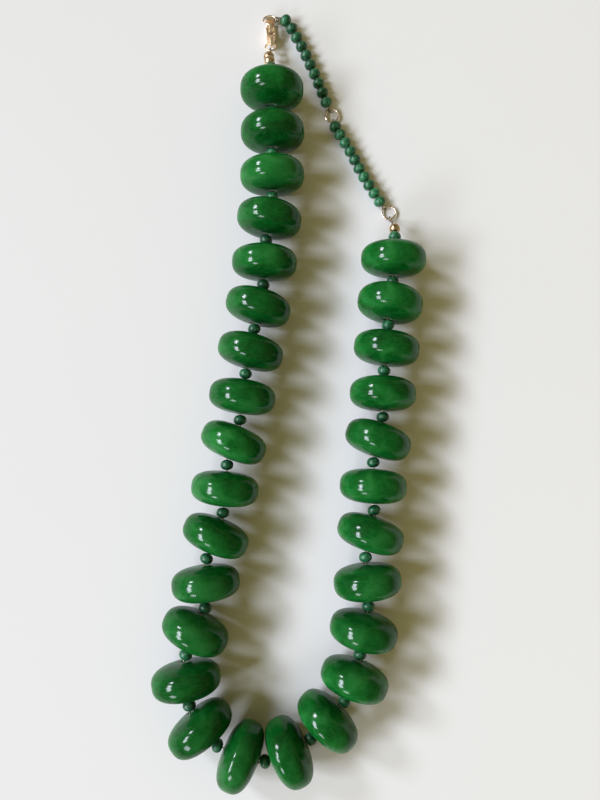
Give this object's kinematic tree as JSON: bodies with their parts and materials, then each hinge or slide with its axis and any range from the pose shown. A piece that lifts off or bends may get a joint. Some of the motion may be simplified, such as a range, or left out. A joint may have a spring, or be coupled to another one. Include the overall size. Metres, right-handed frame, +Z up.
{
  "type": "beaded necklace",
  "caption": "Necklace of large green rondelle beads with small green spacer beads, gold lobster clasp, and an extender of small beads and jump rings, lying as an open loop.",
  "frame": {"origin": "on the surface the necklace lies on, under the centre of its bounding box", "axes": "+Z up from the surface, +Y along the loop from its bottom bend towards the clasp, +X towards the extender side"},
  "size_m": [0.0818, 0.2424, 0.02],
  "materials": {
    "green_stone": null,
    "small_green_bead": "satin green stone beads on a fine steel-grey beading wire",
    "gold": "polished gold plating"
  },
  "bodies": {
    "necklace": {"bead_01": "green_stone", "bead_02": "green_stone", "bead_03": "green_stone", "bead_04": "green_stone", "bead_05": "green_stone", "bead_06": "green_stone", "bead_07": "green_stone", "bead_08": "green_stone", "bead_09": "green_stone", "bead_10": "green_stone", "bead_11": "green_stone", "bead_12": "green_stone", "bead_13": "green_stone", "bead_14": "green_stone", "bead_15": "green_stone", "bead_16": "green_stone", "bead_17": "green_stone", "bead_18": "green_stone", "bead_19": "green_stone", "bead_20": "green_stone", "bead_21": "green_stone", "bead_22": "green_stone", "bead_23": "green_stone", "bead_24": "green_stone", "bead_25": "green_stone", "bead_26": "green_stone", "bead_27": "green_stone", "bead_28": "green_stone", "strand_1": "small_green_bead", "strand_2": "small_green_bead", "strand_3": "small_green_bead", "strand_4": "small_green_bead", "strand_5": "small_green_bead", "strand_6": "small_green_bead", "strand_7": "small_green_bead", "extender_strand_1": "small_green_bead", "extender_strand_2": "small_green_bead", "gold_bead_1": "gold", "gold_bead_2": "gold", "gold_bead_3": "gold", "clasp_body": "gold", "clasp_ring": "gold", "extender_ring_1": "gold", "extender_ring_2": "gold", "extender_ring_3": "gold"},
    "lever": {"clasp_lever": "gold"}
  },
  "joints": [
    {"name": "clasp_lever_hinge", "type": "hinge", "parent": "necklace", "child": "lever", "pos_m": [-0.00746, 0.11296, 0.003], "axis": [-0.9976, -0.0698, 0], "range_deg": [0, 24], "stiffness_Nm_per_rad": 0.01}
  ]
}
